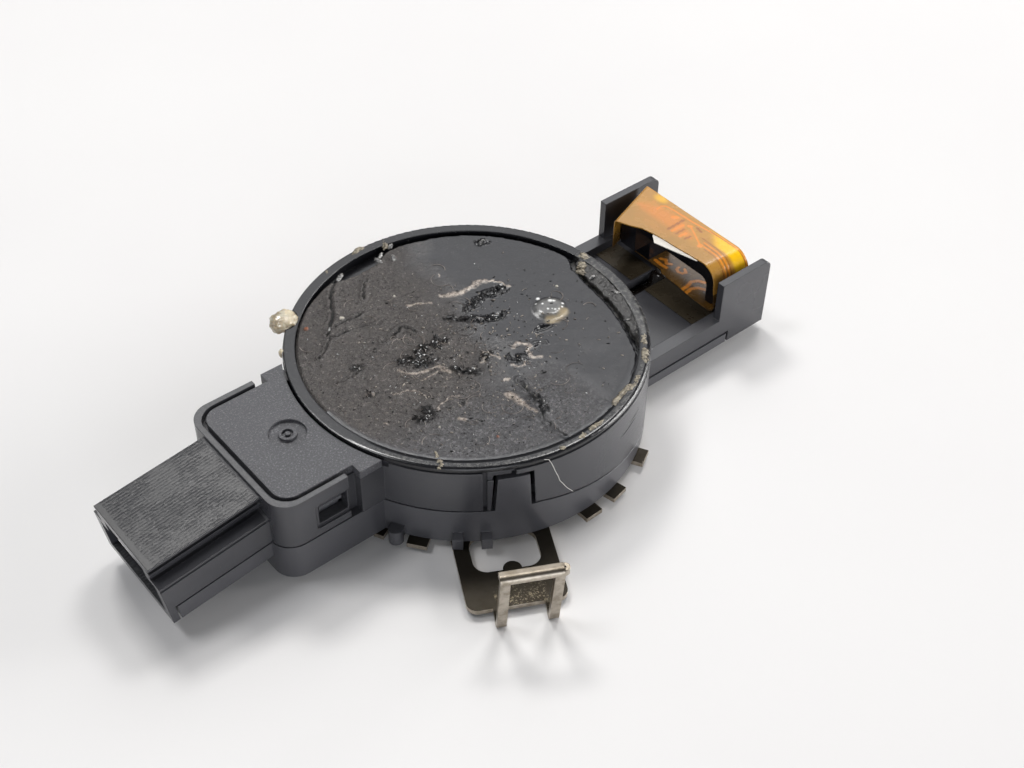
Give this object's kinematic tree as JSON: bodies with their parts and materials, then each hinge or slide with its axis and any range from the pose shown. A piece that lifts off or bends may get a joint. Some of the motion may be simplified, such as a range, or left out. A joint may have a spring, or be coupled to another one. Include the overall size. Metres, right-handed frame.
{
  "type": "rain sensor",
  "caption": "Round windscreen rain and light sensor with coupling gel pad, connector hood, humidity tray with wrapped flex circuit, and a sheet-steel spring clip.",
  "frame": {"origin": "centre of the gel pad's flat face, on the glass plane that pad and rim meet", "axes": "+Z out of the pad through the glass, along the round body's axis; +X from the connector hood to the humidity tray; +Y to the side away from the hook of the spring clip"},
  "size_m": [0.0852, 0.0591, 0.013],
  "materials": {
    "housing_black": "satin moulded surface with fine ejector texture",
    "cover_black": "satin moulded surface",
    "optic_black": "polished infrared-clear black with rubbed rim",
    "gel_black": "soft silicone gel, torn and dusty",
    "plate_black": "fine spark-eroded grain",
    "flex_amber": "amber polyimide film with copper tracks",
    "saddle_black": "plain satin",
    "tape_white": "white adhesive tape",
    "film_brown": "dark brown clear film",
    "clip_steel": "stamped nickel-plated spring steel, bright cut edges",
    "shade_black": "plain satin",
    "board_green": "green solder mask",
    "pin_tin": "tin-plated",
    "emitter_clear": "clear epoxy on a pale body",
    "diode_dark": "dark filter epoxy",
    "sensor_clear": "clear epoxy",
    "chip_black": "moulded epoxy",
    "choke_ferrite": "sintered ferrite",
    "capacitor_tan": "fired ceramic with tinned ends",
    "resistor_black": "glazed ceramic with tinned ends",
    "socket_cream": "moulded connector body"
  },
  "bodies": {
    "root": {"housing": "housing_black", "lower_cover": "cover_black", "lens_body": "optic_black", "gel_pad": "gel_black", "block_cover": "plate_black", "flex_circuit": "flex_amber", "flex_support": "saddle_black", "support_tape": "tape_white", "cover_film": "film_brown", "spring_clip": "clip_steel", "light_shade": "shade_black", "circuit_board": "board_green", "contact_pin_1": "pin_tin", "contact_pin_2": "pin_tin", "contact_pin_3": "pin_tin", "ir_emitter_1": "emitter_clear", "ir_emitter_2": "emitter_clear", "ir_emitter_3": "emitter_clear", "ir_emitter_4": "emitter_clear", "photodiode_1": "diode_dark", "photodiode_2": "diode_dark", "ambient_light_sensor": "sensor_clear", "forward_light_sensor": "sensor_clear", "microcontroller": "chip_black", "voltage_regulator": "chip_black", "filter_choke": "choke_ferrite", "buffer_capacitors": "capacitor_tan", "chip_resistors": "resistor_black", "flex_socket": "socket_cream", "humidity_sensor": "chip_black"}
  },
  "joints": []
}
